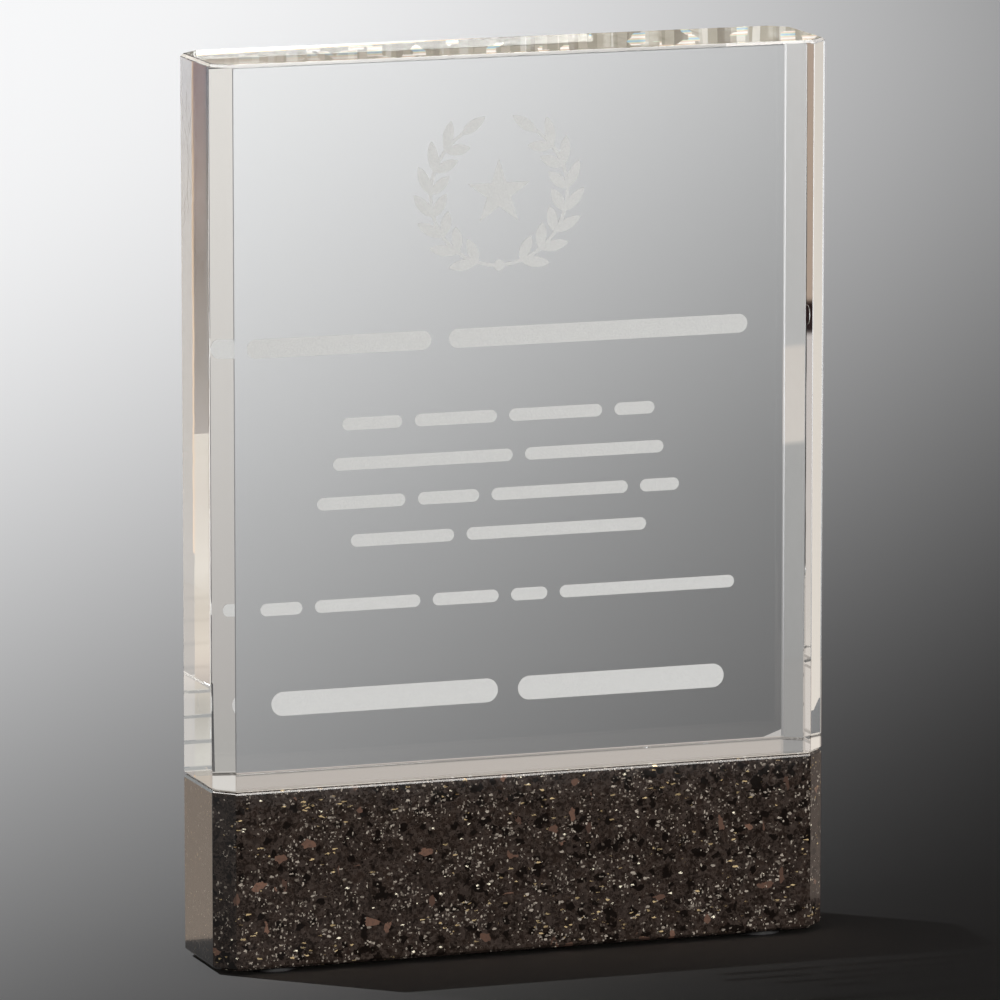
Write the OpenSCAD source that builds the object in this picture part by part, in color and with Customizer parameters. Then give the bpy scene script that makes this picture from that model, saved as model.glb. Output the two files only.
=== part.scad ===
// Crystal award: a clear rectangular block with wide corner facets, bonded on end to a
// polished granite base of the same outline, with four small rubber feet underneath.
// Frame: +Z up, +X to the reader's right, +Y to the rear. The origin is on the surface that
// the award stands on, under the middle of the base. Millimetres.

/* [Block and base] */
// Width of the award, left to right
body_w = 127; // [90:0.5:180]
// Depth of the award, front to back
body_d = 25.4; // [24:0.1:40]
// Height from the underside of the granite to the top of the crystal
body_h = 177.8; // [165:0.1:240]
// Height of the granite base
base_h = 35.5; // [20:0.1:36]
// Width that each upright corner facet takes from a face
facet = 3.7; // [2:0.1:5]
// Thickness of the adhesive film between the crystal and the granite
bond_t = 0.2; // [0.1:0.05:0.5]
// How far the adhesive film stays back from the polished sides
bond_inset = 0.5; // [0.4:0.1:1]

/* [Edges] */
// Polished arris around the top of the crystal
crystal_top_arris = 0.6; // [0.3:0.1:2]
// Arris around the bottom of the crystal
crystal_foot_arris = 0.3; // [0.1:0.1:0.4]
// Arris around the top of the granite
granite_top_arris = 0.4; // [0.1:0.1:0.5]
// Arris around the underside of the granite
granite_foot_arris = 0.6; // [0.3:0.1:1.5]

/* [Feet] */
// Diameter of each rubber foot
foot_d = 9.5; // [6:0.5:10]
// Thickness of each foot
foot_h = 0.8; // [0.5:0.1:3]
// Thickness of the adhesive disc that holds a foot
glue_h = 0.1; // [0.05:0.05:0.3]
// Gap from a foot to the front or rear face of the base
foot_edge = 1.2; // [0.8:0.1:1.5]
// Gap from a foot to the end of the base
foot_end = 8; // [5:0.5:20]
// Small bevel on the rim of a foot
foot_rim = 0.15; // [0.05:0.05:0.2]

/* [Engraving] */
// Depth that the frosted marks are cut into the rear face of the crystal
engrave_depth = 0.25; // [0.2:0.05:0.8]
// Height of the middle of the wreath above the bottom of the crystal
wreath_z = 112.5; // [108:0.5:115]
// Radius of the ring that the wreath's leaves follow
wreath_r = 14.2; // [11:0.1:16]
// Pairs of leaves on each side of the wreath
leaf_pairs = 7; // [4:1:8]
// Length of one leaf
leaf_len = 6.2; // [5:0.1:7]
// Width of one leaf
leaf_w = 2.2; // [1.5:0.1:2.5]
// Width of the wreath's stem
stem_w = 0.7; // [0.4:0.1:1.2]
// Radius of the star's points
star_r = 6.8; // [4:0.1:8]

/* [Hidden] */
$fn = 96;

base_z = foot_h + glue_h;
bond_z = base_z + base_h;
crystal_z = bond_z + bond_t;
crystal_h = body_h - base_h - bond_t;

foot_x = body_w / 2 - foot_end - foot_d / 2;
foot_y = body_d / 2 - foot_edge - foot_d / 2;
glue_d = foot_d - 0.5;

// How far a cutting tool runs past the face that it cuts
overrun = 1;

// The leaves run up each side from beside the wreath's bottom to beside its open top
first_leaf_angle = -72;
last_leaf_angle = 56;
// The ring curves towards its inner leaves, so they stand out further and are shorter
outer_splay = -25;
inner_splay = 47;
inner_leaf_share = 0.86;
// How far the stem runs on inside the leaf at its tip
stem_overlap_angle = 4;
knot_r = 1.1;
star_waist = 0.382;

// Blank frosted bars stand where an inscription goes, one bar for each word. Each row is
// [height of its middle above the bottom of the crystal, bar height, space between bars, lengths]
heading_bar = 3.8;
text_bar = 2.5;
name_bar = 4.8;
text_space = 2.6;
ROWS = [
    [84.2, heading_bar, 3.6, [38, 62.5]],
    [68.4, text_bar, text_space, [12.4, 17, 19.4, 8.4]],
    [60.5, text_bar, text_space, [37.2, 29]],
    [52.8, text_bar, text_space, [18.2, 12.7, 28.5, 8.2]],
    [45.2, text_bar, text_space, [21.4, 37.6]],
    [32.5, text_bar, text_space, [8.6, 21.8, 13.7, 7.6, 36.8]],
    [13.6, name_bar, 4.2, [47, 43.4]]
];

function total(lengths, count) = count == 0 ? 0 : lengths[count - 1] + total(lengths, count - 1);

// Outline of a slab between two upright planes, with its top and bottom corners taken off
module slab_outline(half, height, foot_arris, top_arris) {
    polygon([
        [-half + foot_arris, 0], [half - foot_arris, 0],
        [half, foot_arris], [half, height - top_arris],
        [half - top_arris, height], [-half + top_arris, height],
        [-half, height - top_arris], [-half, foot_arris]
    ]);
}

// Eight-sided upright block: a front-to-back slab, a left-to-right slab and the two diagonal
// slabs of the corner facets, with every horizontal edge taken off by the same arris
module faceted_block(height, foot_arris, top_arris, inset = 0) {
    half_diagonal = (body_w / 2 + body_d / 2 - facet) / sqrt(2);
    slabs = [[0, body_w / 2], [90, body_d / 2], [45, half_diagonal], [-45, half_diagonal]];
    intersection_for (slab = slabs)
        rotate([90, 0, slab[0]])
            linear_extrude(height = 2 * body_w, center = true)
                slab_outline(slab[1] - inset, height, foot_arris, top_arris);
}

// A bar with round ends, its left end at the origin
module round_bar(length, height) {
    translate([height / 2, -height / 2]) square([length - height, height]);
    for (x = [height / 2, length - height / 2]) translate([x, 0]) circle(d = height);
}

// One row of bars, centred on the block
module bar_row(row) {
    lengths = row[3];
    width = total(lengths, len(lengths)) + row[2] * (len(lengths) - 1);
    for (i = [0:len(lengths) - 1])
        translate([total(lengths, i) + i * row[2] - width / 2, row[0]])
            round_bar(lengths[i], row[1]);
}

// A pointed leaf where two arcs cross, growing to the right from the origin
module leaf(length, width) {
    arc_r = (length * length + width * width) / (4 * width);
    intersection() {
        translate([length / 2, arc_r - width / 2]) circle(r = arc_r);
        translate([length / 2, width / 2 - arc_r]) circle(r = arc_r);
    }
}

// Places its children on the wreath's ring, heading along it and turned by the splay
module on_wreath(angle, splay = 0) {
    rotate(angle) translate([wreath_r, 0]) rotate(90 + splay) children();
}

// The right-hand leaves: a pair at each step and one at the tip
module leaves() {
    step = (last_leaf_angle - first_leaf_angle) / leaf_pairs;
    for (i = [0:leaf_pairs - 1]) {
        angle = first_leaf_angle + i * step;
        on_wreath(angle, outer_splay) leaf(leaf_len, leaf_w);
        on_wreath(angle, inner_splay) leaf(leaf_len * inner_leaf_share, leaf_w);
    }
    on_wreath(last_leaf_angle) leaf(leaf_len, leaf_w);
}

// A thin ring, open at the top between the two tip leaves
module stem() {
    gap_half = 90 - last_leaf_angle - stem_overlap_angle;
    reach = 2 * wreath_r;
    difference() {
        circle(r = wreath_r + stem_w / 2);
        circle(r = wreath_r - stem_w / 2);
        polygon([
            [0, 0],
            reach * [sin(gap_half), cos(gap_half)],
            reach * [-sin(gap_half), cos(gap_half)]
        ]);
    }
}

module star() {
    polygon([for (i = [0:9])
        let (r = i % 2 == 0 ? star_r : star_r * star_waist)
        [r * cos(90 + 36 * i), r * sin(90 + 36 * i)]]);
}

// All the marks as the reader sees them through the block
module marks() {
    translate([0, wreath_z]) {
        leaves();
        mirror([1, 0]) leaves();
        stem();
        translate([0, -wreath_r]) circle(r = knot_r);
        star();
    }
    for (row = ROWS) bar_row(row);
}

module crystal_block() {
    color("lightcyan", 0.5)
        translate([0, 0, crystal_z])
            difference() {
                faceted_block(crystal_h, crystal_foot_arris, crystal_top_arris);
                translate([0, body_d / 2 + overrun, 0])
                    rotate([90, 0, 0])
                        linear_extrude(height = engrave_depth + overrun)
                            marks();
            }
}

module bond_layer() {
    color("gainsboro")
        translate([0, 0, bond_z])
            faceted_block(bond_t, 0, 0, inset = bond_inset);
}

module granite_base() {
    color("darkslategray")
        translate([0, 0, base_z])
            faceted_block(base_h, granite_foot_arris, granite_top_arris);
}

module foot_at(side, end) {
    color("dimgray")
        translate([end * foot_x, side * foot_y, 0])
            rotate_extrude()
                polygon([
                    [0, 0], [foot_d / 2 - foot_rim, 0], [foot_d / 2, foot_rim],
                    [foot_d / 2, foot_h], [0, foot_h]
                ]);
}

module glue_at(side, end) {
    color("whitesmoke")
        translate([end * foot_x, side * foot_y, foot_h])
            cylinder(d = glue_d, h = glue_h);
}

crystal_block();
bond_layer();
granite_base();
foot_at(-1, -1);  // foot_front_left
foot_at(-1, 1);  // foot_front_right
foot_at(1, -1);  // foot_rear_left
foot_at(1, 1);  // foot_rear_right
glue_at(-1, -1);  // foot_glue_front_left
glue_at(-1, 1);  // foot_glue_front_right
glue_at(1, -1);  // foot_glue_rear_left
glue_at(1, 1);  // foot_glue_rear_right
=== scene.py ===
"""Crystal award: a clear faceted block bonded upright on a polished granite base.

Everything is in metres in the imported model's own frame: +Z up, +X to the reader's right and
+Y to the rear. The origin is on the surface that the award stands on.
"""

import math

import bpy
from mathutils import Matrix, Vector


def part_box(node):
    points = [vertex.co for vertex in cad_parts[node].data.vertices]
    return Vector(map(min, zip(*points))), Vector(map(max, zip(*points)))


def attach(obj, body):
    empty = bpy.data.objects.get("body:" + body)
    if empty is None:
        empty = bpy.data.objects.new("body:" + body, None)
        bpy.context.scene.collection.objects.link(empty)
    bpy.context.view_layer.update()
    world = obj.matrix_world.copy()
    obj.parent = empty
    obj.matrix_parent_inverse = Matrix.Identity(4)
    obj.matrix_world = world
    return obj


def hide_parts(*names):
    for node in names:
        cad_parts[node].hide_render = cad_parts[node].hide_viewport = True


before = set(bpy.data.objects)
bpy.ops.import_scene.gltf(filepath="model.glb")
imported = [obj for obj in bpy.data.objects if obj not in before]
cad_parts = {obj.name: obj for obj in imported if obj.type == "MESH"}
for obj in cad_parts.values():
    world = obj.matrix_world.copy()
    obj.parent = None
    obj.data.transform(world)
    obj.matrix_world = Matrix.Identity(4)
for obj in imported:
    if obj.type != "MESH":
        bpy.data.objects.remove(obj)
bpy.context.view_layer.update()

# ---------------------------------------------------------------------------------------------
# Camera
# A long lens a little to the left of the front and a little above the middle of the award, so
# the narrow left side, the front and a sliver of the top face are all seen.
# ---------------------------------------------------------------------------------------------
MM = 0.001
CAMERA_TURN = math.radians(-19.43)
CAMERA_RISE = math.radians(9.73)
CAMERA_REACH = 1.898
CAMERA_LENS_MM = 347.8
# The award stands a touch right of the middle of the frame, and a touch above it
FRAME_OFFSET = (-0.0048, -0.0055)

block_low, block_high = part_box("crystal_block")
base_low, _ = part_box("granite_base")
award_middle = Vector((0, 0, (base_low.z + block_high.z) / 2))
towards_camera = Vector(
    (
        math.sin(CAMERA_TURN) * math.cos(CAMERA_RISE),
        -math.cos(CAMERA_TURN) * math.cos(CAMERA_RISE),
        math.sin(CAMERA_RISE),
    )
)

bpy.ops.object.camera_add(location=award_middle + towards_camera * CAMERA_REACH)
camera = bpy.context.object
camera.name = "camera"
camera.rotation_euler = (-towards_camera).to_track_quat("-Z", "Y").to_euler()
camera.data.lens = CAMERA_LENS_MM
camera.data.sensor_width = 36
camera.data.shift_x, camera.data.shift_y = FRAME_OFFSET
camera.data.clip_end = 20
bpy.context.scene.camera = camera

# ---------------------------------------------------------------------------------------------
# Floor
# A wide, plain, pale matt sheet. It runs out of sight behind the award in every view.
# ---------------------------------------------------------------------------------------------
FLOOR_RADIUS = 8
FLOOR_COLOUR = (0.8, 0.8, 0.8, 1)


def new_material(name):
    """A material with a Principled shader. Returns the material, its nodes, links and shader."""
    material = bpy.data.materials.new(name)
    material.use_nodes = True
    nodes, links = material.node_tree.nodes, material.node_tree.links
    return material, nodes, links, nodes["Principled BSDF"]


bpy.ops.object.select_all(action="DESELECT")
bpy.ops.mesh.primitive_circle_add(
    vertices=64, radius=FLOOR_RADIUS, fill_type="NGON", location=(0, 0, 0)
)
floor = bpy.context.object
floor.name = "floor"
floor_matt, nodes, links, shader = new_material("floor_matt")
shader.inputs["Base Color"].default_value = FLOOR_COLOUR
shader.inputs["Roughness"].default_value = 0.9
shader.inputs["Specular IOR Level"].default_value = 0
floor.data.materials.append(floor_matt)

# ---------------------------------------------------------------------------------------------
# Light
# A spot lamp makes a wide pool of light on the floor behind and to the left of the award, a
# weaker one lights the floor in front, and a soft lamp lights the award itself from the front.
# The surroundings are warm near the horizon and dim overhead.
# ---------------------------------------------------------------------------------------------
HORIZON_COLOUR = (0.50, 0.45, 0.41, 1)
OVERHEAD_COLOUR = (0.20, 0.185, 0.17, 1)
ROOM_COLOUR = (0.008, 0.008, 0.0085, 1)

world = bpy.data.worlds.new("studio")
bpy.context.scene.world = world
world.use_nodes = True
nodes, links = world.node_tree.nodes, world.node_tree.links
place = nodes.new("ShaderNodeTexCoord")
split = nodes.new("ShaderNodeSeparateXYZ")
ramp = nodes.new("ShaderNodeValToRGB")
ramp.color_ramp.elements[0].position = 0.1
ramp.color_ramp.elements[0].color = HORIZON_COLOUR
ramp.color_ramp.elements[1].position = 0.7
ramp.color_ramp.elements[1].color = OVERHEAD_COLOUR
# Matt surfaces get little light from the room, so the pools of light keep their soft edges
path = nodes.new("ShaderNodeLightPath")
room = nodes.new("ShaderNodeMix")
room.data_type = "RGBA"
room.inputs["B"].default_value = ROOM_COLOUR
links.new(place.outputs["Generated"], split.inputs["Vector"])
links.new(split.outputs["Z"], ramp.inputs["Fac"])
links.new(path.outputs["Is Diffuse Ray"], room.inputs["Factor"])
links.new(ramp.outputs["Color"], room.inputs["A"])
links.new(room.outputs["Result"], nodes["Background"].inputs["Color"])


def pool_lamp(name, place, cone, blend, power, colour):
    """A spot lamp that points straight down and lights a round patch of the floor."""
    bpy.ops.object.light_add(type="SPOT", location=place)
    lamp = bpy.context.object
    lamp.name = name
    lamp.data.spot_size = math.radians(cone)
    lamp.data.spot_blend = blend
    lamp.data.energy = power
    lamp.data.color = colour
    lamp.data.shadow_soft_size = 0.05
    return lamp


def soft_lamp(name, place, aim, width, height, power, colour):
    """A rectangular lamp that faces the point it is aimed at."""
    bpy.ops.object.light_add(type="AREA", location=place)
    lamp = bpy.context.object
    lamp.name = name
    lamp.rotation_euler = (Vector(aim) - Vector(place)).to_track_quat("-Z", "Y").to_euler()
    lamp.data.shape = "RECTANGLE"
    lamp.data.size, lamp.data.size_y = width, height
    lamp.data.energy = power
    lamp.data.color = colour
    return lamp


pool_lamp("rear_pool", (-3.395, 3.076, 4.582), 91, 0.151, 2300, (0.985, 0.99, 1))
pool_lamp("front_pool", (0.5, -2.4, 2.5), 62, 0.95, 300, (1, 0.995, 0.99))
front_lamp = soft_lamp(
    "front_lamp", (0.66, -2.3, 1.1), (0, 0, 0.09), 0.9, 0.9, 78, (1, 0.985, 0.965)
)
front_lamp.visible_transmission = False
# The front lamp is flagged off the floor
flagged = bpy.data.collections.new("flagged_from_front_lamp")
flagged.objects.link(floor)
front_lamp.light_linking.receiver_collection = flagged
flagged.collection_objects[0].light_linking.link_state = "EXCLUDE"

bpy.context.scene.view_settings.view_transform = "Standard"
# Light crosses the block many times before it leaves, so its paths are followed for longer
bpy.context.scene.cycles.max_bounces = 32
bpy.context.scene.cycles.glossy_bounces = 24
bpy.context.scene.cycles.transmission_bounces = 24
bpy.context.scene.cycles.caustics_reflective = False
bpy.context.scene.cycles.caustics_refractive = False

# ---------------------------------------------------------------------------------------------
# Studio cards, painted reflections
# Narrow glowing cards beside, behind and above the block, two sheets on the floor and one wide card
# in front. Their light and dark colours are painted reflections and painted views through the
# crystal: they show only in the crystal and the polished stone, mirrored or seen through, and
# they give no light.
# ---------------------------------------------------------------------------------------------
SIGHTS = ("camera", "diffuse", "glossy", "transmission", "volume_scatter", "shadow")
ROW_HEIGHT = 0.8 * MM


def studio_card(name, first, second, seen_by, lean=0):
    """A flat card between two corners in millimetres. Returns its nodes, links and glow.

    The far edge of a card that lies flat may lean to the right.
    """
    bpy.ops.object.select_all(action="DESELECT")
    bpy.ops.mesh.primitive_plane_add(size=1, location=(0, 0, 0))
    card = bpy.context.object
    card.name = card.data.name = name
    (x1, y1, z1), (x2, y2, z2) = first, second
    # A card at one height lies flat. Any other stands up.
    places = ((x1, y1, z1), (x2, y2, z1), (x1, y1, z2), (x2, y2, z2))
    if z1 == z2:
        places = ((x1, y1, z1), (x2, y1, z1), (x1 + lean, y2, z1), (x2 + lean, y2, z1))
    for point, place in zip(card.data.vertices, places):
        point.co = Vector(place) * MM
    material, nodes, links, shader = new_material(name)
    nodes.remove(shader)
    glow = nodes.new("ShaderNodeEmission")
    links.new(glow.outputs["Emission"], nodes["Material Output"].inputs["Surface"])
    card.data.materials.append(material)
    material.cycles.emission_sampling = "NONE"
    for sight in SIGHTS:
        setattr(card, "visible_" + sight, sight == seen_by)
    return nodes, links, glow


def between(nodes, links, value, low, high, from_low=0.0, from_high=1.0):
    """A value stretched from one range to another, and held inside it."""
    stretch = nodes.new("ShaderNodeMapRange")
    stretch.inputs["From Min"].default_value = from_low
    stretch.inputs["From Max"].default_value = from_high
    stretch.inputs["To Min"].default_value = low
    stretch.inputs["To Max"].default_value = high
    links.new(value, stretch.inputs["Value"])
    return stretch.outputs["Result"]


def stepped(nodes, links, value, interpolation, stops):
    """A Color Ramp over a value from 0 to 1. Each stop is a position and its colour."""
    ramp = nodes.new("ShaderNodeValToRGB")
    ramp.color_ramp.interpolation = interpolation
    ramp.color_ramp.elements[0].color = (*stops[0][1], 1)
    ramp.color_ramp.elements[1].position = stops[-1][0]
    ramp.color_ramp.elements[1].color = (*stops[-1][1], 1)
    for spot, colour in stops[1:-1]:
        ramp.color_ramp.elements.new(spot).color = (*colour, 1)
    links.new(value, ramp.inputs["Fac"])
    return ramp.outputs["Color"]


def graded(nodes, links, glow, axis, stops):
    """Shades a card along one axis. Each stop is a place in millimetres and its colour."""
    place = nodes.new("ShaderNodeTexCoord")
    split = nodes.new("ShaderNodeSeparateXYZ")
    links.new(place.outputs["Object"], split.inputs["Vector"])
    start, end = stops[0][0], stops[-1][0]
    along = between(nodes, links, split.outputs[axis], 0, 1, start * MM, end * MM)
    shares = [((spot - start) / (end - start), colour) for spot, colour in stops]
    links.new(stepped(nodes, links, along, "LINEAR", shares), glow.inputs["Color"])


# Each card: name, two opposite corners, the rays that see it, the axis it is shaded along, and
# its stops along that axis
CARDS = (
    # Mirrored in the left sides of the stone and of the crystal, and in the stone's right facet
    ("stone_card", (-80, 22, 0), (-65.5, 22, 33), "glossy", "Z", (
        (0, (0.70, 0.58, 0.48)), (33, (0.70, 0.58, 0.48)),
    )),
    ("side_card", (-80, 22, 34), (-65.5, 22, 182), "glossy", "Z", (
        (36, (1.15, 1.20, 1.20)), (48, (1.05, 1.10, 1.12)), (56, (1.88, 1.77, 1.66)),
        (77, (1.78, 1.64, 1.50)), (92, (1.48, 1.33, 1.17)), (107, (1.18, 1.02, 0.85)),
        (132, (0.80, 0.63, 0.46)), (152, (0.46, 0.30, 0.15)), (172, (0.10, 0.01, 0.00)),
    )),
    ("right_stone_card", (90, -10, 0), (90, 8, 33), "glossy", "Z", (
        (0, (0.36, 0.30, 0.26)), (33, (0.36, 0.30, 0.26)),
    )),
    # Seen through the inner part of the left side, pale below and brown above
    ("low_flag", (68.3, 16, 30), (74, 16, 85), "transmission", "Z", (
        (30, (0.20, 0.12, 0.08)), (40, (0.42, 0.35, 0.26)), (48, (0.32, 0.27, 0.20)),
        (56, (0.52, 0.48, 0.41)), (72, (0.46, 0.42, 0.37)), (85, (0.54, 0.51, 0.45)),
    )),
    ("brown_flag", (68.3, 16, 85), (74, 16, 178), "transmission", "Z", (
        (85, (0.08, 0.07, 0.08)), (100, (0.00, 0.00, 0.01)), (122, (0.02, 0.01, 0.02)),
        (134, (0.17, 0.13, 0.14)), (178, (0.21, 0.13, 0.12)),
    )),
    ("amber_line", (68.0, 15.9, 60), (68.35, 15.9, 178), "transmission", "Z", (
        (60, (0.75, 0.50, 0.30)), (178, (0.60, 0.42, 0.28)),
    )),
    ("blue_line", (70.9, 15.9, 96), (72.5, 15.9, 178), "transmission", "Z", (
        (96, (0.03, 0.05, 0.07)), (178, (0.05, 0.08, 0.11)),
    )),
    # Seen through the front left facet
    ("left_facet_card", (142, 213, 0), (230, 213, 140), "transmission", "Z", (
        (0, (0.475, 0.452, 0.434)), (140, (0.80, 0.77, 0.73)),
    )),
    # Seen through the front right facet
    ("right_facet_card", (-40, 235, 0), (12, 235, 150), "transmission", "Z", (
        (0, (0.90, 0.83, 0.75)), (150, (0.80, 0.74, 0.67)),
    )),
    # Seen through the rear right facet
    ("rear_facet_flag", (59.9, 13.4, 36), (64.5, 13.4, 178), "transmission", "Z", (
        (36, (0.25, 0.245, 0.24)), (95.5, (0.36, 0.355, 0.347)), (96.5, (0.61, 0.565, 0.52)),
        (115, (0.61, 0.565, 0.52)), (116, (0.44, 0.433, 0.425)), (178, (0.56, 0.55, 0.54)),
    )),
    # Seen through the right side, after one turn round the block
    ("end_flag", (-62, 15.5, 30), (-55.5, 15.5, 178), "transmission", "Z", (
        (30, (0.62, 0.57, 0.52)), (102, (0.58, 0.53, 0.51)), (103, (0.02, 0.01, 0.01)),
        (109, (0.02, 0.01, 0.01)), (110, (0.44, 0.34, 0.27)), (178, (0.44, 0.34, 0.27)),
    )),
    # Mirrored in the top face: the first two make a wedge along its rear edge
    ("white_strip", (-44, 60, 179.5), (16, 68, 185.9), "glossy", "X", (
        (-44, (2.6, 2.5, 2.3)), (16, (1.6, 1.5, 1.35)),
    )),
    ("amber_strip", (-44, 60, 185.9), (31, 70, 186.1), "glossy", "X", (
        (-44, (1.25, 0.85, 0.55)), (31, (0.9, 0.6, 0.4)),
    )),
    # Mirrored in the polished arris round the top: along the front, the left and the right facet
    ("overhead_card", (-450, -500, 600), (650, 350, 600), "glossy", "X", (
        (-100, (16.5, 16, 15.3)), (300, (7.8, 7.4, 6.9)),
    )),
    ("left_arris_card", (-140, 300, 266), (-95, 300, 302), "glossy", "Z", (
        (266, (3.6, 3.4, 3.1)), (302, (3.6, 3.4, 3.1)),
    )),
    ("right_arris_card", (430, 300, 375), (520, 300, 440), "glossy", "Z", (
        (375, (3.2, 3.0, 2.8)), (440, (3.2, 3.0, 2.8)),
    )),
)
for name, first, second, seen_by, axis, stops in CARDS:
    card_nodes = studio_card(name, first, second, seen_by)
    graded(*card_nodes, axis, stops)

# Sheets on the floor, seen low down through the front facets
card_nodes = studio_card("left_facet_sheet", (68, 130, 1), (77, 213, 1), "transmission", 83)
graded(*card_nodes, "Y", ((130, (0.42, 0.41, 0.39)), (213, (0.475, 0.452, 0.434))))
card_nodes = studio_card("right_facet_sheet", (3, 217, 1), (10, 235, 1), "transmission", -1)
graded(*card_nodes, "Y", ((217, (0.90, 0.83, 0.75)), (235, (0.90, 0.83, 0.75))))

# Mirrored faintly in the lower part of the front face, over what is mirrored there already
card_nodes = studio_card("front_card", (-70, -60, 27), (95, -60, 125), "glossy")
graded(*card_nodes, "Z", (
    (27, (1.45, 1.45, 1.45)), (50, (1.08, 1.08, 1.08)), (85, (0.3, 0.3, 0.3)), (125, (0, 0, 0)),
))
nodes, links, glow = card_nodes
behind = nodes.new("ShaderNodeBsdfTransparent")
added = nodes.new("ShaderNodeAddShader")
links.new(glow.outputs["Emission"], added.inputs[0])
links.new(behind.outputs["BSDF"], added.inputs[1])
links.new(added.outputs["Shader"], nodes["Material Output"].inputs["Surface"])

# Mirrored in the top face: a painted reflection of the thin bars and few rainbow squares that cut
# crystal shows there
nodes, links, glow = studio_card("sparkle_card", (-60, 74, 179), (110, 74, 196), "glossy")
place = nodes.new("ShaderNodeTexCoord")
split = nodes.new("ShaderNodeSeparateXYZ")
links.new(place.outputs["Object"], split.inputs["Vector"])


def card_cells(squeeze, scale, distance, wander):
    """Voronoi cells on the card, counted in millimetres. Returns its colour, split in three."""
    mapping = nodes.new("ShaderNodeMapping")
    mapping.inputs["Scale"].default_value = squeeze
    cells = nodes.new("ShaderNodeTexVoronoi")
    cells.distance = distance
    cells.inputs["Scale"].default_value = scale
    cells.inputs["Randomness"].default_value = wander
    picks = nodes.new("ShaderNodeSeparateColor")
    links.new(place.outputs["Object"], mapping.inputs["Vector"])
    links.new(mapping.outputs["Vector"], cells.inputs["Vector"])
    links.new(cells.outputs["Color"], picks.inputs["Color"])
    return picks.outputs


def blended(nodes, links, mask, under, over):
    """One colour over another by a mask. Each may be a colour or a socket."""
    blend = nodes.new("ShaderNodeMix")
    blend.data_type = "RGBA"
    links.new(mask, blend.inputs["Factor"])
    for name, colour in (("A", under), ("B", over)):
        if isinstance(colour, tuple):
            blend.inputs[name].default_value = (*colour, 1)
        else:
            links.new(colour, blend.inputs[name])
    return blend.outputs["Result"]


# Khaki glass tones, then thin upright bars, then squares with a rainbow from top to bottom
along = between(nodes, links, split.outputs["X"], 0, 1, -40 * MM, 100 * MM)
khaki = stepped(nodes, links, along, "LINEAR", (
    (0, (0.64, 0.56, 0.47)), (0.45, (0.48, 0.44, 0.34)),
    (0.75, (0.50, 0.47, 0.37)), (1, (0.46, 0.43, 0.35)),
))
bar_cells = card_cells((1000, 0, 45), 0.62, "EUCLIDEAN", 1)
bars = stepped(nodes, links, bar_cells["Red"], "CONSTANT", (
    (0, (0.24, 0.20, 0.14)), (0.16, (0.40, 0.36, 0.27)), (0.42, (0.58, 0.53, 0.42)),
    (0.84, (0.80, 0.76, 0.66)), (0.95, (1.25, 1.2, 1.1)),
))
bar_share = between(nodes, links, split.outputs["X"], 0.12, 0.85, -40 * MM, 25 * MM)
pattern = blended(nodes, links, bar_share, khaki, bars)
# The upper rows are dimmed at the left, where the block behind the top face is already bright
upper = between(nodes, links, split.outputs["Z"], 0.1, 1, 188.4 * MM, 188.8 * MM)
rightward = between(nodes, links, split.outputs["X"], 0, 1, 25 * MM, 40 * MM)
kept = nodes.new("ShaderNodeMath")
kept.operation = "MAXIMUM"
links.new(upper, kept.inputs[0])
links.new(rightward, kept.inputs[1])
dimmed = nodes.new("ShaderNodeVectorMath")
dimmed.operation = "SCALE"
links.new(pattern, dimmed.inputs[0])
links.new(kept.outputs["Value"], dimmed.inputs["Scale"])
rows = nodes.new("ShaderNodeMath")
rows.operation = "PINGPONG"
rows.inputs[1].default_value = ROW_HEIGHT
links.new(split.outputs["Z"], rows.inputs[0])
up_the_row = between(nodes, links, rows.outputs["Value"], 0, 1, 0, ROW_HEIGHT)
rainbow = stepped(nodes, links, up_the_row, "LINEAR", (
    (0, (0.35, 0.60, 1.25)), (0.22, (0.65, 1.15, 1.05)), (0.42, (1.3, 1.2, 0.75)),
    (0.6, (1.3, 0.85, 0.65)), (0.8, (1.7, 1.6, 1.5)), (1, (1.9, 1.85, 1.75)),
))
square_cells = card_cells((1000, 0, 1500), 0.30, "CHEBYCHEV", 0.85)
chosen = nodes.new("ShaderNodeMath")
chosen.operation = "GREATER_THAN"
chosen.inputs[1].default_value = 0.76
links.new(square_cells["Green"], chosen.inputs[0])
faded = nodes.new("ShaderNodeMath")
faded.operation = "MULTIPLY"
links.new(chosen.outputs["Value"], faded.inputs[0])
square_share = between(nodes, links, split.outputs["X"], 0.12, 0.8, -20 * MM, 20 * MM)
links.new(square_share, faded.inputs[1])
sparkle = blended(nodes, links, faded.outputs["Value"], dimmed.outputs["Vector"], rainbow)
links.new(sparkle, glow.inputs["Color"])

# ---------------------------------------------------------------------------------------------
# Crystal block
# One block of clear optical crystal, sawn and flat polished, with wide corner facets. Its rear
# face is sand blasted through a stencil, which leaves shallow frosted pockets.
# ---------------------------------------------------------------------------------------------
EDGE_ROUNDING = 0.1 * MM
POLISH_STEPS = 1
CRYSTAL_IOR = 1.52
POCKET_REACH = 0.5 * MM
FROST_DEPTH = 0.08 * MM
FACE_MARGIN = 0.02 * MM
# How far the engraving stays from the block's sides, and from its top and foot
SIDE_MARGIN = 5 * MM
END_MARGIN = 2 * MM
# A point that no piece reaches
NOWHERE = Vector((9, 9, 9))


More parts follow.
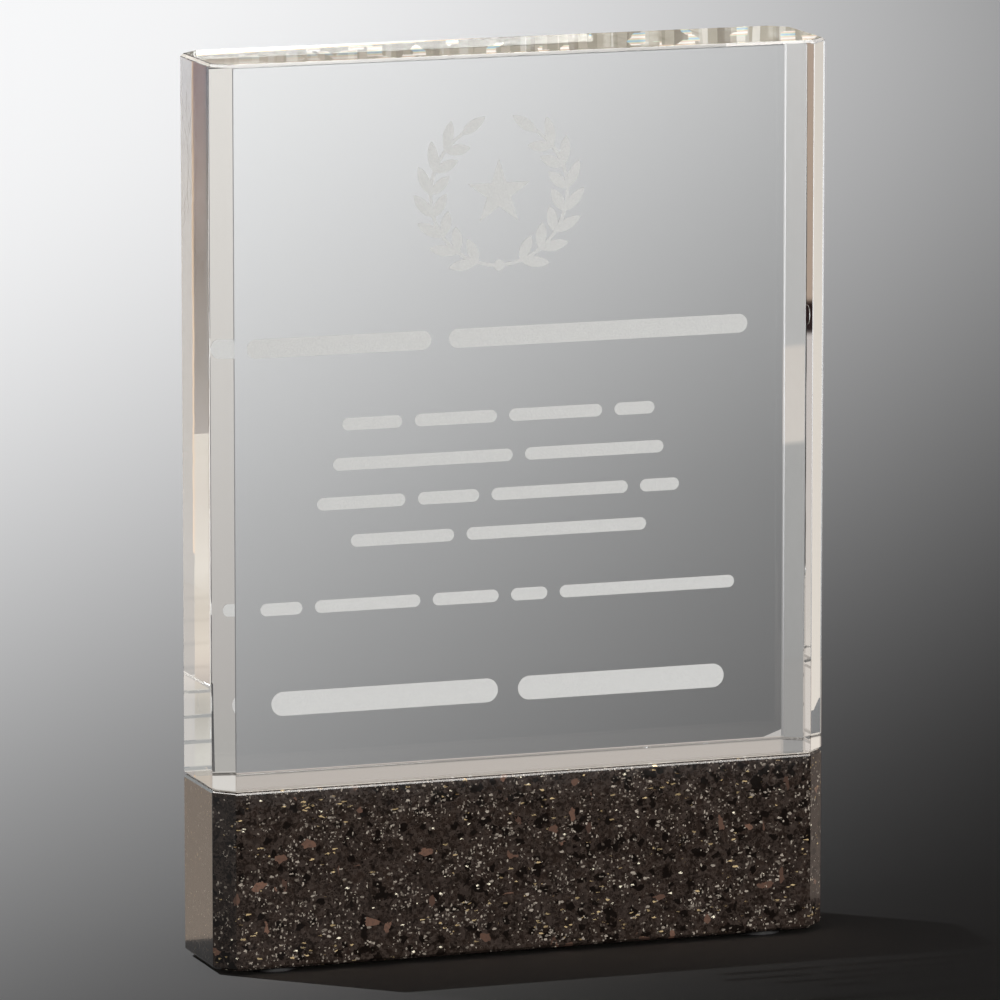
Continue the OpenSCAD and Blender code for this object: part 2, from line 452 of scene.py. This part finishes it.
def merged_copy(node, name, pierced=NOWHERE.y):
    """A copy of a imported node's mesh with its loose triangles joined and its flats made whole.

    A flat that faces the rear at the depth given by pierced keeps its triangles round its holes.
    """
    bpy.ops.object.select_all(action="DESELECT")
    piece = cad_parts[node].copy()
    piece.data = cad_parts[node].data.copy()
    piece.name = piece.data.name = name
    piece.data.materials.clear()
    bpy.context.collection.objects.link(piece)
    piece.select_set(True)
    bpy.context.view_layer.objects.active = piece
    bpy.ops.object.mode_set(mode="EDIT")
    bpy.ops.mesh.select_all(action="SELECT")
    bpy.ops.mesh.remove_doubles(threshold=1e-6)
    bpy.ops.mesh.select_mode(type="FACE")
    bpy.ops.object.mode_set(mode="OBJECT")
    for face in piece.data.polygons:
        face.select = abs(face.center.y - pierced) > FACE_MARGIN
    bpy.ops.object.mode_set(mode="EDIT")
    bpy.ops.mesh.dissolve_limited(angle_limit=math.radians(0.05), delimit={"NORMAL"})
    bpy.ops.mesh.select_mode(type="VERT")
    bpy.ops.object.mode_set(mode="OBJECT")
    return piece


def is_within(spot, low, high):
    """Whether a point lies inside the box low to high."""
    return all(low[i] < spot[i] < high[i] for i in range(3))


def round_edges(piece, reach, steps, low=NOWHERE, high=NOWHERE):
    """Rounds the sharp edges of a polished block whose middles lie outside the box low to high."""
    piece.data.attributes.new("bevel_weight_edge", "FLOAT", "EDGE")
    weights = piece.data.attributes["bevel_weight_edge"].data
    points = piece.data.vertices
    for edge in piece.data.edges:
        middle = (points[edge.vertices[0]].co + points[edge.vertices[1]].co) / 2
        weights[edge.index].value = 0.0 if is_within(middle, low, high) else 1.0
    rounding = piece.modifiers.new("rounding", "BEVEL")
    rounding.width, rounding.segments = reach, steps
    rounding.limit_method = "WEIGHT"
    rounding.use_clamp_overlap = False
    bpy.context.view_layer.objects.active = piece
    bpy.ops.object.modifier_apply(modifier="rounding")


# The pockets lie inside this box, which takes in the rear face but none of the block's edges
engraved_low = (block_low.x + SIDE_MARGIN, 0, block_low.z + END_MARGIN)
engraved_high = (block_high.x - SIDE_MARGIN, block_high.y + MM, block_high.z - END_MARGIN)


def in_pocket(spot):
    """Whether a point of the block lies in a pocket and not on the rear face."""
    depth = block_high.y - spot.y
    return FACE_MARGIN < depth < POCKET_REACH and is_within(spot, engraved_low, engraved_high)


crystal = merged_copy("crystal_block", "crystal", block_high.y)
# The frosting is skin deep, or the walls of its pockets would show as lines in the block's sides
for point in crystal.data.vertices:
    if in_pocket(point.co):
        point.co.y = block_high.y - FROST_DEPTH
round_edges(crystal, EDGE_ROUNDING, POLISH_STEPS, engraved_low, engraved_high)


def scaled_place(nodes, links, per_mm, squeeze=(1, 1, 1), turn=(0, 0, 0)):
    """The Object coordinates, counted in millimetres, turned and then squeezed."""
    place = nodes.new("ShaderNodeTexCoord")
    mapping = nodes.new("ShaderNodeMapping")
    mapping.inputs["Scale"].default_value = [1000 * per_mm * share for share in squeeze]
    mapping.inputs["Rotation"].default_value = [math.radians(angle) for angle in turn]
    links.new(place.outputs["Object"], mapping.inputs["Vector"])
    return mapping.outputs["Vector"]


def noise(nodes, links, place, scale, detail=2, rough=0.5):
    """A Noise texture at a place and scale. Returns its Fac output."""
    texture = nodes.new("ShaderNodeTexNoise")
    texture.inputs["Scale"].default_value = scale
    texture.inputs["Detail"].default_value = detail
    texture.inputs["Roughness"].default_value = rough
    links.new(place, texture.inputs["Vector"])
    return texture.outputs["Fac"]


clear_crystal, nodes, links, shader = new_material("clear_crystal")
shader.inputs["Base Color"].default_value = (0.985, 0.99, 0.985, 1)
shader.inputs["Roughness"].default_value = 0
shader.inputs["IOR"].default_value = CRYSTAL_IOR
shader.inputs["Transmission Weight"].default_value = 1
# Hand polishing leaves a very slight waviness, which only the long paths in the edges show
waves = noise(nodes, links, scaled_place(nodes, links, 1), 0.09, 1)
bump = nodes.new("ShaderNodeBump")
bump.inputs["Strength"].default_value = 1
bump.inputs["Distance"].default_value = 0.002 * MM
links.new(waves, bump.inputs["Height"])
links.new(bump.outputs["Normal"], shader.inputs["Normal"])
# Lamps shine through the block instead of throwing a dark shadow
path = nodes.new("ShaderNodeLightPath")
clear = nodes.new("ShaderNodeBsdfTransparent")
clear.inputs["Color"].default_value = (0.93, 0.94, 0.93, 1)
mix = nodes.new("ShaderNodeMixShader")
links.new(path.outputs["Is Shadow Ray"], mix.inputs["Fac"])
links.new(shader.outputs["BSDF"], mix.inputs[1])
links.new(clear.outputs["BSDF"], mix.inputs[2])
links.new(mix.outputs["Shader"], nodes["Material Output"].inputs["Surface"])

frosted_crystal, nodes, links, shader = new_material("frosted_crystal")
shader.inputs["Roughness"].default_value = 0.85
shader.inputs["Specular IOR Level"].default_value = 0.2
grain = noise(nodes, links, scaled_place(nodes, links, 1), 6, 3, 0.6)
tone = nodes.new("ShaderNodeValToRGB")
tone.color_ramp.elements[0].position = 0.3
tone.color_ramp.elements[0].color = (0.72, 0.72, 0.73, 1)
tone.color_ramp.elements[1].position = 0.7
tone.color_ramp.elements[1].color = (0.97, 0.97, 0.97, 1)
links.new(grain, tone.inputs["Fac"])
links.new(tone.outputs["Color"], shader.inputs["Base Color"])
bump = nodes.new("ShaderNodeBump")
bump.inputs["Strength"].default_value = 0.5
bump.inputs["Distance"].default_value = 0.05 * MM
links.new(grain, bump.inputs["Height"])
links.new(bump.outputs["Normal"], shader.inputs["Normal"])
glow = nodes.new("ShaderNodeBsdfTranslucent")
glow.inputs["Color"].default_value = (0.9, 0.9, 0.9, 1)
frost = nodes.new("ShaderNodeMixShader")
frost.inputs["Fac"].default_value = 0.3
links.new(shader.outputs["BSDF"], frost.inputs[1])
links.new(glow.outputs["BSDF"], frost.inputs[2])
# Past the angle of total reflection the rear face is a mirror, even where it is frosted
fresnel = nodes.new("ShaderNodeFresnel")
fresnel.inputs["IOR"].default_value = CRYSTAL_IOR
total = nodes.new("ShaderNodeMath")
total.operation = "GREATER_THAN"
total.inputs[1].default_value = 0.5
mirror = nodes.new("ShaderNodeBsdfGlass")
mirror.inputs["IOR"].default_value = CRYSTAL_IOR
mirror.inputs["Roughness"].default_value = 0
mix = nodes.new("ShaderNodeMixShader")
links.new(fresnel.outputs["Fac"], total.inputs[0])
links.new(total.outputs["Value"], mix.inputs["Fac"])
links.new(frost.outputs["Shader"], mix.inputs[1])
links.new(mirror.outputs["BSDF"], mix.inputs[2])
links.new(mix.outputs["Shader"], nodes["Material Output"].inputs["Surface"])

crystal.data.materials.append(clear_crystal)
crystal.data.materials.append(frosted_crystal)
# Only the floors of the pockets are frosted. Their low walls stay clear.
for face in crystal.data.polygons:
    if face.normal.y > 0.9 and in_pocket(face.center):
        face.material_index = 1
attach(crystal, "root")
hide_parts("crystal_block")

# ---------------------------------------------------------------------------------------------
# Bond film
# The cured adhesive between crystal and granite: a thin pearly film with fine bubbles. It
# wets the granite, and the crystal's polished foot shows over it as a bright band.
# ---------------------------------------------------------------------------------------------
BOND_CLEARANCE = 0.03 * MM


def cell_group():
    """Node group that picks mineral cells at random: a mask of those picked, and a tone each."""
    group = bpy.data.node_groups.new("scattered_cells", "ShaderNodeTree")
    sockets = group.interface
    sockets.new_socket("Place", in_out="INPUT", socket_type="NodeSocketVector")
    for name in ("Cells per mm", "Share", "Size", "Ragged mm"):
        sockets.new_socket(name, in_out="INPUT", socket_type="NodeSocketFloat")
    for name in ("Mask", "Tone"):
        sockets.new_socket(name, in_out="OUTPUT", socket_type="NodeSocketFloat")
    nodes, links = group.nodes, group.links
    given = nodes.new("NodeGroupInput")
    made = nodes.new("NodeGroupOutput")

    warp = nodes.new("ShaderNodeTexNoise")
    warp.inputs["Detail"].default_value = 2
    double = nodes.new("ShaderNodeMath")
    double.operation = "MULTIPLY"
    double.inputs[1].default_value = 2.2
    centred = nodes.new("ShaderNodeVectorMath")
    centred.operation = "SUBTRACT"
    centred.inputs[1].default_value = (0.5, 0.5, 0.5)
    shift = nodes.new("ShaderNodeVectorMath")
    shift.operation = "SCALE"
    moved = nodes.new("ShaderNodeVectorMath")
    moved.operation = "ADD"
    cells = nodes.new("ShaderNodeTexVoronoi")
    picks = nodes.new("ShaderNodeSeparateColor")
    level = nodes.new("ShaderNodeMath")
    level.operation = "SUBTRACT"
    level.inputs[0].default_value = 1
    picked = nodes.new("ShaderNodeMath")
    picked.operation = "GREATER_THAN"
    near = nodes.new("ShaderNodeMath")
    near.operation = "LESS_THAN"
    mask = nodes.new("ShaderNodeMath")
    mask.operation = "MULTIPLY"
    links.new(given.outputs["Place"], warp.inputs["Vector"])
    links.new(given.outputs["Cells per mm"], double.inputs[0])
    links.new(double.outputs["Value"], warp.inputs["Scale"])
    links.new(warp.outputs["Color"], centred.inputs[0])
    links.new(centred.outputs["Vector"], shift.inputs["Vector"])
    links.new(given.outputs["Ragged mm"], shift.inputs["Scale"])
    links.new(given.outputs["Place"], moved.inputs[0])
    links.new(shift.outputs["Vector"], moved.inputs[1])
    links.new(moved.outputs["Vector"], cells.inputs["Vector"])
    links.new(given.outputs["Cells per mm"], cells.inputs["Scale"])
    links.new(cells.outputs["Color"], picks.inputs["Color"])
    links.new(given.outputs["Share"], level.inputs[1])
    links.new(picks.outputs["Red"], picked.inputs[0])
    links.new(level.outputs["Value"], picked.inputs[1])
    links.new(cells.outputs["Distance"], near.inputs[0])
    links.new(given.outputs["Size"], near.inputs[1])
    links.new(picked.outputs["Value"], mask.inputs[0])
    links.new(near.outputs["Value"], mask.inputs[1])
    links.new(mask.outputs["Value"], made.inputs["Mask"])
    links.new(picks.outputs["Green"], made.inputs["Tone"])
    return group


scattered_cells = cell_group()


def scatter(nodes, links, place, per_mm, share, size, ragged):
    """Places the scattered cells group with its values. A share may be a socket."""
    cells = nodes.new("ShaderNodeGroup")
    cells.node_tree = scattered_cells
    links.new(place, cells.inputs["Place"])
    cells.inputs["Cells per mm"].default_value = per_mm
    cells.inputs["Size"].default_value = size
    cells.inputs["Ragged mm"].default_value = ragged
    if isinstance(share, float):
        cells.inputs["Share"].default_value = share
    else:
        links.new(share, cells.inputs["Share"])
    return cells.outputs["Mask"], cells.outputs["Tone"]


bond = merged_copy("bond_layer", "bond_film")
bond_low, bond_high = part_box("bond_layer")
for point in bond.data.vertices:
    if point.co.z > (bond_low.z + bond_high.z) / 2:
        point.co.z -= BOND_CLEARANCE
pearly_bond, nodes, links, shader = new_material("pearly_bond")
shader.inputs["Roughness"].default_value = 0.35
shader.inputs["Coat Weight"].default_value = 0.4
place = scaled_place(nodes, links, 1)
cloud = between(nodes, links, noise(nodes, links, place, 0.12, 3), 0, 1, 0.35, 0.65)
film = blended(nodes, links, cloud, (0.50, 0.46, 0.41), (0.66, 0.62, 0.56))
bubble, _ = scatter(nodes, links, place, 0.8, 0.25, 0.3, 0.05)
film = blended(nodes, links, bubble, film, (0.78, 0.76, 0.70))
links.new(film, shader.inputs["Base Color"])
bond.data.materials.append(pearly_bond)
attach(bond, "root")
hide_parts("bond_layer")

# ---------------------------------------------------------------------------------------------
# Granite base
# One block of near-black brown granite, sawn to the crystal's outline and polished on every
# face. Soft dark grains carry pale, gold and copper crystals of many sizes.
# ---------------------------------------------------------------------------------------------
GRANITE_ROUNDING = 0.12 * MM
GRANITE_STEPS = 2

granite = merged_copy("granite_base", "granite")
round_edges(granite, GRANITE_ROUNDING, GRANITE_STEPS)

polished_granite, nodes, links, shader = new_material("polished_granite")
place = scaled_place(nodes, links, 1)
slanted = scaled_place(nodes, links, 1, (0.62, 1, 1.05), (0, 48, 20))
upright = scaled_place(nodes, links, 1, (1.05, 1, 0.55), (0, -28, -15))

# Soft dark grains
patches = between(nodes, links, noise(nodes, links, place, 0.30, 3), 0, 1, 0.38, 0.62)
stone = blended(nodes, links, patches, (0.0078, 0.0050, 0.0038), (0.0224, 0.0148, 0.0116))
grain, grain_tone = scatter(nodes, links, place, 1.0, 0.45, 2.0, 0.9)
grain_colour = blended(nodes, links, grain_tone, (0.0071, 0.0046, 0.0035), (0.0381, 0.0279, 0.0238))
stone = blended(nodes, links, grain, stone, grain_colour)
fine = between(nodes, links, noise(nodes, links, place, 1.7, 5, 0.75), 0, 1, 0.46, 0.74)
stone = blended(nodes, links, fine, stone, (0.0598, 0.0449, 0.0374))
dark, _ = scatter(nodes, links, place, 0.75, 0.12, 2.0, 0.9)
stone = blended(nodes, links, dark, stone, (0.0048, 0.0031, 0.0024))

# Pale specks gather in loose clusters
cluster = noise(nodes, links, place, 0.17, 2)
pale_share = between(nodes, links, cluster, 0.015, 0.20, 0.42, 0.68)
for spot_place, per_mm, size in ((slanted, 1.5, 0.40), (upright, 1.9, 0.36), (place, 2.4, 0.45)):
    speck, speck_tone = scatter(nodes, links, spot_place, per_mm, pale_share, size, 0.5)
    speck_colour = blended(nodes, links, speck_tone, (0.051, 0.0394, 0.032), (0.408, 0.36, 0.306))
    stone = blended(nodes, links, speck, stone, speck_colour)

# Copper crystals
for spot_place, per_mm in ((slanted, 0.72), (upright, 0.84)):
    copper, copper_tone = scatter(nodes, links, spot_place, per_mm, 0.010, 2.0, 0.7)
    copper_colour = blended(nodes, links, copper_tone, (0.052, 0.031, 0.024), (0.17, 0.095, 0.068))
    copper_colour = blended(nodes, links, fine, copper_colour, (0.07, 0.045, 0.036))
    stone = blended(nodes, links, copper, stone, copper_colour)

# Gold flecks and a few bright glints, mostly long and thin. The glints are painted highlights,
# bright specks painted into the stone's colour.
gold_share = between(nodes, links, noise(nodes, links, place, 0.11, 2), 0.0, 0.060, 0.46, 0.66)
for streak_turn in ((0, 40, 0), (0, -55, 0)):
    streak = scaled_place(nodes, links, 1, (0.45, 1, 1.25), streak_turn)
    gold, gold_tone = scatter(nodes, links, streak, 1.6, gold_share, 0.36, 0.8)
    gold_colour = blended(nodes, links, gold_tone, (0.204, 0.129, 0.054), (0.68, 0.53, 0.3))
    stone = blended(nodes, links, gold, stone, gold_colour)
# Painted glints: highlight specks painted into the stone's colour
painted_glint, _ = scatter(nodes, links, slanted, 1.9, 0.006, 0.40, 0.7)
stone = blended(nodes, links, painted_glint, stone, (1.0, 0.93, 0.74))
links.new(stone, shader.inputs["Base Color"])

# The polish is a little duller and a hair raised over the fine grain, and the flecks of the last
# gold streaks have a metal's sheen
shader.inputs["Coat Weight"].default_value = 0.35
shader.inputs["Coat Roughness"].default_value = 0.04
links.new(between(nodes, links, fine, 0.12, 0.26), shader.inputs["Roughness"])
links.new(between(nodes, links, gold, 0, 0.45), shader.inputs["Metallic"])
bump = nodes.new("ShaderNodeBump")
bump.inputs["Strength"].default_value = 0.25
bump.inputs["Distance"].default_value = 0.02 * MM
links.new(fine, bump.inputs["Height"])
links.new(bump.outputs["Normal"], shader.inputs["Normal"])
granite.data.materials.append(polished_granite)
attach(granite, "root")
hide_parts("granite_base")

# ---------------------------------------------------------------------------------------------
# Rubber feet
# Four small moulded rubber discs that keep the stone off the furniture, each with a grip ring
# pressed into its underside and held by a disc of clear adhesive.
# ---------------------------------------------------------------------------------------------
FOOT_SIDES = 64
FOOT_RIM = 0.12 * MM
# The edges of the grip ring, as shares of the foot's radius
RING_OUTER = 0.62
RING_INNER = 0.42
RING_DEPTH = 0.15 * MM
RING_WALL = 0.05 * MM

black_rubber, nodes, links, shader = new_material("black_rubber")
place = scaled_place(nodes, links, 1)
mottle = between(nodes, links, noise(nodes, links, place, 0.9, 3), 0, 1, 0.3, 0.7)
rubber = blended(nodes, links, mottle, (0.014, 0.014, 0.015), (0.032, 0.032, 0.033))
links.new(rubber, shader.inputs["Base Color"])
links.new(between(nodes, links, mottle, 0.72, 0.9), shader.inputs["Roughness"])
skin = nodes.new("ShaderNodeBump")
skin.inputs["Strength"].default_value = 0.4
skin.inputs["Distance"].default_value = 0.03 * MM
links.new(noise(nodes, links, place, 7, 2), skin.inputs["Height"])
links.new(skin.outputs["Normal"], shader.inputs["Normal"])

first_low, first_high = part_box("foot_front_left")
foot_radius = (first_high.x - first_low.x) / 2
foot_middle = (first_low + first_high) / 2
bpy.ops.object.select_all(action="DESELECT")
bpy.ops.mesh.primitive_cylinder_add(
    vertices=FOOT_SIDES,
    radius=foot_radius,
    depth=first_high.z - first_low.z,
    location=foot_middle,
)
foot = bpy.context.object
bpy.ops.object.transform_apply(location=True)
bpy.ops.object.mode_set(mode="EDIT")
bpy.ops.mesh.select_all(action="DESELECT")
bpy.ops.object.mode_set(mode="OBJECT")
for face in foot.data.polygons:
    face.select = face.normal.z < -0.9
bpy.ops.object.mode_set(mode="EDIT")
bpy.ops.mesh.select_mode(type="FACE")
bpy.ops.mesh.bevel(offset=FOOT_RIM, segments=3, affect="EDGES")
bpy.ops.object.mode_set(mode="OBJECT")
for face in foot.data.polygons:
    face.select = face.normal.z < -0.99 and len(face.vertices) == FOOT_SIDES
bpy.ops.object.mode_set(mode="EDIT")
bpy.ops.mesh.inset(thickness=foot_radius * (1 - RING_OUTER))
bpy.ops.mesh.inset(thickness=RING_WALL, depth=-RING_DEPTH)
bpy.ops.mesh.inset(thickness=foot_radius * (RING_OUTER - RING_INNER))
bpy.ops.mesh.inset(thickness=RING_WALL, depth=RING_DEPTH)
bpy.ops.mesh.select_all(action="DESELECT")
bpy.ops.object.mode_set(mode="OBJECT")
bpy.ops.object.shade_smooth_by_angle(angle=math.radians(35))
foot.data.materials.append(black_rubber)

for corner in ("front_left", "front_right", "rear_left", "rear_right"):
    low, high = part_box("foot_" + corner)
    copy = foot.copy()
    copy.data = foot.data.copy()
    copy.name = copy.data.name = "rubber_foot_" + corner
    bpy.context.collection.objects.link(copy)
    for point in copy.data.vertices:
        point.co += (low + high) / 2 - foot_middle
    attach(copy, "root")
    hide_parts("foot_" + corner)
bpy.data.objects.remove(foot)

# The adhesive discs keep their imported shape
clear_adhesive, nodes, links, shader = new_material("clear_adhesive")
place = scaled_place(nodes, links, 1)
haze = between(nodes, links, noise(nodes, links, place, 0.6, 3), 0, 1, 0.3, 0.7)
links.new(
    blended(nodes, links, haze, (0.62, 0.61, 0.56), (0.80, 0.79, 0.74)),
    shader.inputs["Base Color"],
)
links.new(between(nodes, links, haze, 0.2, 0.4), shader.inputs["Roughness"])
for name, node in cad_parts.items():
    if name.startswith("foot_glue_"):
        node.data.materials.clear()
        node.data.materials.append(clear_adhesive)
